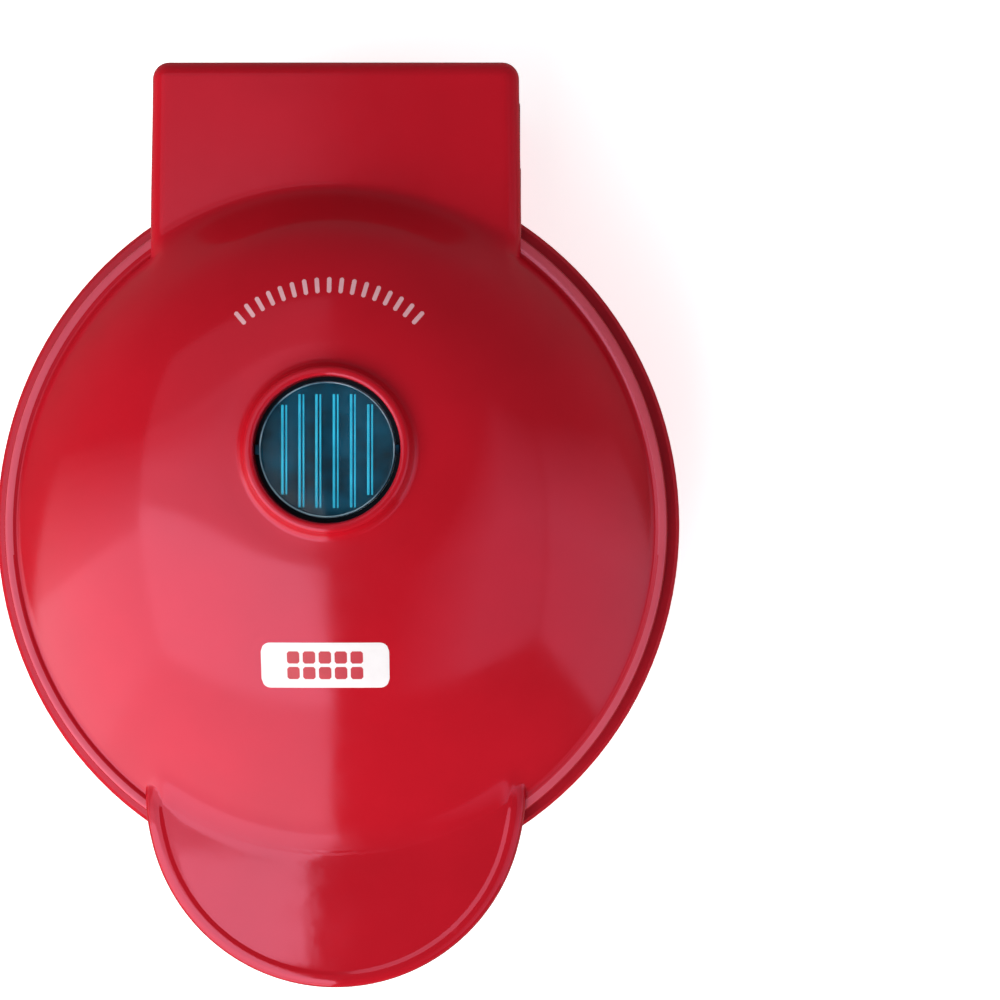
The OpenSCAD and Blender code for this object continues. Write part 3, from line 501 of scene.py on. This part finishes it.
outer[:, 2] = np.where(P[:, 2] < HOOD_EDGE, np.maximum(hood_bottom(outer[:, 0], outer[:, 1], P[:, 2], 0), np.where(d > 45.5, d - 1.6, -99)), outer[:, 2])
inn = P.copy()
inn[:, 0] = P[:, 0] * (31.0 / HOOD_X)
inn[:, 1] = np.where(P[:, 1] > 60, 60 + (P[:, 1] - 60) * (22.6 / 25.0), P[:, 1])
inn[:, 2] = 42.0 + (P[:, 2] - 42.0) * (5.1 / 7.5)
inn = rounded(inn, (-31.0, 20.0, 42.0), (31.0, 82.6, 47.1), 0.8, low=False)
di = dome_z(inn[:, 0], inn[:, 1])
zb = hood_bottom(inn[:, 0] * 1.005, inn[:, 1], np.clip(P[:, 2], 42, HOOD_EDGE - 0.05), 0)
inn[:, 2] = np.where(P[:, 2] < HOOD_EDGE - 0.05, 42 + (zb - 42) * 0.93, inn[:, 2])
inn[:, 2] = np.maximum(inn[:, 2], di - 1.9)
HV, HF = shell(outer, inn, len(HX), len(HYl), F, IDX)
build("lid_hood", HV, HF, "lid", M["red_plastic"], ["lid_shell"], sharp=42)

# lift handle
R = HANDLE_R
hp = prof([(0.0, 49.36), (31.3, 49.36, 1.4), (31.95, 49.48, 1.2), (32.9, 49.5, 1.0), (R - 0.4, 49.2, 1.3), (R, 48.0, 1.0), (R, 42.6, 0.4),
           (R - 0.6, 42.0, 0.3), (R - 2.0, 42.0, 0.2), (R - 2.1, 47.4, 0.6), (0.0, 47.4)], 7)
extra = []
for a, b in zip(hp[:-1], hp[1:]):
    extra.append(a)
    if abs(a[0] - b[0]) > 2:
        n = int(abs(a[0] - b[0]) / 1.0)
        for i in range(1, n):
            extra.append(a + (b - a) * i / n)
extra.append(hp[-1])
hp = np.array(extra)
split = int(np.argmax(hp[:, 0] > R - 0.001))
while hp[split, 1] > 47.8:
    split += 1
HVh = rings(hp, 288, 1.0, 1.0, HANDLE_Y)
x, y, z = HVh[:, :, 0], HVh[:, :, 1], HVh[:, :, 2]
side = np.sin(np.linspace(0, 2 * math.pi, 288, endpoint=False))[None, :] * np.ones_like(z)
rr = np.hypot(x, y - HANDLE_Y)
flare = 1 + 0.017 * smoothstep(-0.25, 0.2, side) * smoothstep(20, 34, rr)
x[:] = x * flare
dip = 1.5 * smoothstep(-0.16, 0.20, side) * smoothstep(28.5, 34.8, rr)
z[:] = np.where(z > 46, np.maximum(z - dip, np.where(z > 48, 47.0 + (z - 48) * 0.3, z - dip)), z)
d = dome_z(x, y)
topm = np.zeros(z.shape, bool)
topm[:split] = True
bl = np.maximum(z, d) + fillet(d, z, K_HANDLE) * handle_mask(x, y) - EPS * smoothstep(0, 1.5, d - z)
HVh[:, :, 2] = np.where(topm, bl, np.maximum(z, np.where(d > 45.4, d - 1.6, -99)))
build("lid_handle", HVh.reshape(-1, 3), quads(len(hp), 288, False), "lid", M["red_handle"], ["lid_shell"], sharp=50)


# hinge lugs inside the hood
def extruded(yz, x0, x1, name, body, mat, stands_for=(), r=0.3):
    yz = np.asarray(yz, float)
    c = yz.mean(0)
    n = len(yz)
    xs = [(x0, r), (x0 + r * 0.3, r * 0.3), (x0 + r, 0.0), (x1 - r, 0.0), (x1 - r * 0.3, r * 0.3), (x1, r)]
    rows = []
    for xx, inset in xs:
        dv = yz - c
        L = np.linalg.norm(dv, axis=1)[:, None]
        q = c + dv * (1 - inset / L)
        rows.append(np.column_stack([np.full(n, xx), q]))
    verts = np.vstack(rows)
    faces = []
    for i in range(len(xs) - 1):
        for j in range(n):
            k = (j + 1) % n
            faces.append((i * n + j, i * n + k, (i + 1) * n + k, (i + 1) * n + j))
    faces.append(tuple(range(n)))
    faces.append(tuple((len(xs) - 1) * n + j for j in range(n - 1, -1, -1)))
    return build(name, verts, faces, body, mat, stands_for, sharp=40)


lug = [(75 + 4.6 * math.cos(math.radians(a)), 39 + 4.6 * math.sin(math.radians(a))) for a in range(180, 361, 10)] + [(79.6, 47.3), (70.4, 47.3)]
extruded(lug, -13.5, -10.5, "lid_lug_left", "lid", M["red_plastic"], ["lid_shell"])
extruded(lug, 10.5, 13.5, "lid_lug_right", "lid", M["red_plastic"], ["lid_shell"])

# --------------------------------------------------------------- the lens
LY = 13.5
cap = prof([(0.0, 70.15), (4.0, 70.08, 6), (8.0, 69.85, 6), (11.3, 69.45, 1.2), (12.05, 69.0, 0.4), (12.05, 68.1, 0.05), (0.0, 68.1)], 6)
build("lens_cap", rings(cap, 160, 1, 1, LY).reshape(-1, 3), quads(len(cap), 160, False), "lid", M["blue_lens"], ["indicator_lens"], sharp=50)
core = prof([(0.0, 67.75), (11.75, 67.75, 0.1), (11.85, 67.0, 0.05), (11.85, 66.7, 0.05), (0.0, 66.7)], 4)
build("lens_core", rings(core, 128, 1, 1, LY).reshape(-1, 3), quads(len(core), 128, False), "lid", M["lens_dark"], ["indicator_lens"], sharp=50)
# A near-black ring fills the gap between the cap and the lens ring: painted shade for the shadowed recess.
gap_shade_ring = prof([(12.0, 67.0, 0.02), (13.5, 67.0, 0.1), (13.5, 67.6, 0.1), (12.0, 67.6, 0.1)], 3, closed=True)
build("lens_gap_shade_ring", rings(gap_shade_ring, 128, 1, 1, LY).reshape(-1, 3), quads(len(gap_shade_ring), 128, True), "lid", M["lens_gap"], ["indicator_lens"], sharp=50)
rim = prof([(11.56, 68.95, 0.08), (11.82, 68.95, 0.08), (11.82, 69.33, 0.08), (11.56, 69.44, 0.08)], 3, closed=True)


def bar(name, x0, x1, y0, y1, z0, z1, r, body, mat, stands_for=(), n=(3, 12, 2)):
    Xs, Ys, Zs = lines(x0, x1, r, n[0], 3), lines(y0, y1, r, n[1], 3), lines(z0, z1, r, n[2], 3)
    Pb, Fb, _ = lattice(Xs, Ys, Zs)
    return build(name, rounded(Pb, (x0, y0, z0), (x1, y1, z1), r), Fb, body, mat, stands_for, sharp=50)


# A pale ring at the cap's edge: a painted highlight for the bright line along the lit edge of the cap.
build("lens_rim_highlight", rings(rim, 160, 1, 1, LY).reshape(-1, 3), quads(len(rim), 160, True), "lid", M["lens_edge"], ["indicator_lens"], sharp=50)
# Two thin bright strips per rib: painted glints along the rib edges, in the glowing cyan material.
rib_x = [-7.55, -4.55, -1.6, 1.45, 4.45, 7.45]
for i, rx in enumerate(rib_x):
    half = math.sqrt(11.3 ** 2 - (abs(rx) + 0.6) ** 2)
    top_y, low_y = LY + min(half, 9.7), LY - min(half, 10.2)
    for j, (dx, hw) in enumerate(((-0.34, 0.22), (0.34, 0.15))):
        bar("lens_rib_%d%s" % (i + 1, "ab"[j]), rx + dx - hw, rx + dx + hw, low_y, top_y, 67.6, 68.02, 0.14, "lid", M["lens_rib"], ["indicator_lens"], n=(1, 24, 1))
bar("lens_tab_left", -12.6, -11.5, LY - 0.9, LY + 0.9, 68.0, 69.1, 0.2, "lid", M["lens_dark"], ["indicator_lens"])
bar("lens_tab_right", 11.5, 12.6, LY - 0.9, LY + 0.9, 68.0, 69.1, 0.2, "lid", M["lens_dark"], ["indicator_lens"])


# ------------------------------------------------- plain marks printed on the dome
def patch(name, grid_xy, lift, mat, thick=0.12):
    """A thin closed piece over a grid of points (n, m, 2) that follows the dome."""
    g = np.asarray(grid_xy, float)
    n, m, _ = g.shape
    z = dome_z(g[:, :, 0], g[:, :, 1])
    topv = np.dstack([g, z + lift]).reshape(-1, 3)
    botv = np.dstack([g, z - thick]).reshape(-1, 3)
    N = n * m
    f = []
    for i in range(n - 1):
        for j in range(m - 1):
            a = i * m + j
            f.append((a, a + 1, a + m + 1, a + m))
            f.append((N + a, N + a + m, N + a + m + 1, N + a + 1))
    edge = [(0, j) for j in range(m - 1)] + [(i, m - 1) for i in range(n - 1)] + [(n - 1, j) for j in range(m - 1, 0, -1)] + [(i, 0) for i in range(n - 1, 0, -1)]
    ids = [i * m + j for i, j in edge]
    for a, b in zip(ids, ids[1:] + ids[:1]):
        f.append((a, N + a, N + b, b))
    return build(name, np.vstack([topv, botv]), f, "lid", mat, sharp=50)


def pill(w, h, r, n=40, m=16):
    """Grid over a rounded rectangle."""
    u = -np.cos(np.linspace(0, math.pi, n)) * 0.5 + np.linspace(-1, 1, n) * 0.5
    v = np.linspace(-1, 1, m)
    out = np.zeros((n, m, 2))
    for i, a in enumerate(u):
        x = a * w / 2
        over = abs(x) - (w / 2 - r)
        hh = h / 2 if over <= 0 else h / 2 - r + math.sqrt(max(r * r - over * over, 0.0))
        for j, b in enumerate(v):
            out[i, j] = (x, b * max(hh, 0.02))
    return out


arc_c, arc_r = (0.2, 18.6), 23.8
n_tick = 17
ticks = []
for i in range(n_tick):
    a = math.radians(131.0 - (131.0 - 49.2) * i / (n_tick - 1))
    base = pill(2.9, 0.78, 0.38, 14, 4)
    g = np.zeros_like(base)
    for p in range(base.shape[0]):
        for q in range(base.shape[1]):
            u, v = base[p, q]
            rr = arc_r + u
            g[p, q] = (arc_c[0] + rr * math.cos(a) - v * math.sin(a), arc_c[1] + rr * math.sin(a) + v * math.cos(a))
    patch("print_tick_%02d" % (i + 1), g, 0.02, M["print_pink"])
bx, by = -0.7, -24.4
patch("badge_field", pill(22.6, 8.1, 1.6) + np.array([bx, by]), 0.03, M["print_white"])
for i in range(5):
    for j in range(2):
        patch("badge_grid_%d%d" % (i, j), pill(2.2, 2.2, 0.35, 6, 6) + np.array([bx - 5.6 + 2.8 * i, by - 1.4 + 2.8 * j]), 0.05, M["print_red"])

# ------------------------------------------------------------ camera and light
cam_data = bpy.data.cameras.new("camera")
cam = bpy.data.objects.new("camera", cam_data)
scene.collection.objects.link(cam)
cam.location = (0.0301, 0.0047, 0.4825)
cam.rotation_euler = (0, 0, 0)
cam_data.sensor_width = 36.0
cam_data.lens = 85.5
cam_data.clip_start = 0.01
scene.camera = cam
scene.view_settings.view_transform = "Standard"


def area(name, x0, x1, y0, y1, z, radiance, color=(1, 1, 1)):
    l = bpy.data.lights.new(name, "AREA")
    l.shape = "RECTANGLE"
    l.size, l.size_y = x1 - x0, y1 - y0
    l.energy = radiance * math.pi * l.size * l.size_y
    l.color = color
    o = bpy.data.objects.new(name, l)
    o.location = ((x0 + x1) / 2, (y0 + y1) / 2, z)
    o.visible_camera = False
    scene.collection.objects.link(o)
    return o


def wall(name, centre, rot, sx, sy, radiance, color=(1, 1, 1)):
    o = area(name, 0, sx, 0, sy, 0, radiance, color)
    o.location = centre
    o.rotation_euler = rot
    return o


TOP = 5.1
STEPS = 14
for i in range(STEPS):
    t = i / (STEPS - 1)
    edge, share = -0.20 + 0.42 * t, 0.44 if i == 0 else 0.56 / (STEPS - 1)
    area("panel_%02d" % i, -1.25, -0.081 - 0.0001 * i, -1.05, edge, 1.0 + 0.001 * i, TOP * share)
for i, (edge, share) in enumerate([(-0.32, 0.42), (-0.24, 0.11), (-0.16, 0.11), (-0.08, 0.10), (0.0, 0.09), (0.08, 0.09), (0.16, 0.08)]):
    wall("wall_left_%d" % i, (-1.25 - 0.001 * i, (edge - 1.05) / 2, 0.50), (0, math.radians(-90), 0), 1.0, edge + 1.05, TOP * 0.6 * share)
area("panel_rear", -1.25, -0.07, 0.15, 0.75, 1.02, 0.42)
wall("wall_front", (-0.6655, -1.05, 0.50), (math.radians(90), 0, 0), 1.169, 1.0, TOP * 0.52)
for i in range(9):
    t = i / 8
    x0, y1 = 0.22 + 0.55 * t, -0.32 + 0.66 * t
    area("panel_right_%d" % i, x0, 1.5, -1.1, y1, 1.1 + 0.001 * i, 0.12, (1.0, 0.84, 0.95))
    wall("wall_right_%d" % i, (1.5 + 0.001 * i, (y1 - 1.1) / 2, 0.54), (0, math.radians(90), 0), 1.08, y1 + 1.1, 0.14, (1.0, 0.84, 0.95))
w = bpy.data.worlds.new("studio")
scene.world = w
w.use_nodes = True
w.node_tree.nodes["Background"].inputs[0].default_value = (1.0, 0.99, 0.985, 1)
w.node_tree.nodes["Background"].inputs[1].default_value = 0.16

fm = bpy.data.meshes.new("floor")
fm.from_pydata([(-4, -4, 0), (4, -4, 0), (4, 4, 0), (-4, 4, 0)], [], [(0, 1, 2, 3)])
floor = bpy.data.objects.new("floor", fm)
scene.collection.objects.link(floor)
mf_ = mat_base("pale_floor", (0.93, 0.93, 0.93), 0.6, (0.91, 0.91, 0.91), cscale=4, bump=0.0, glow=0.72)
fm.materials.append(mf_)
floor.visible_glossy = False
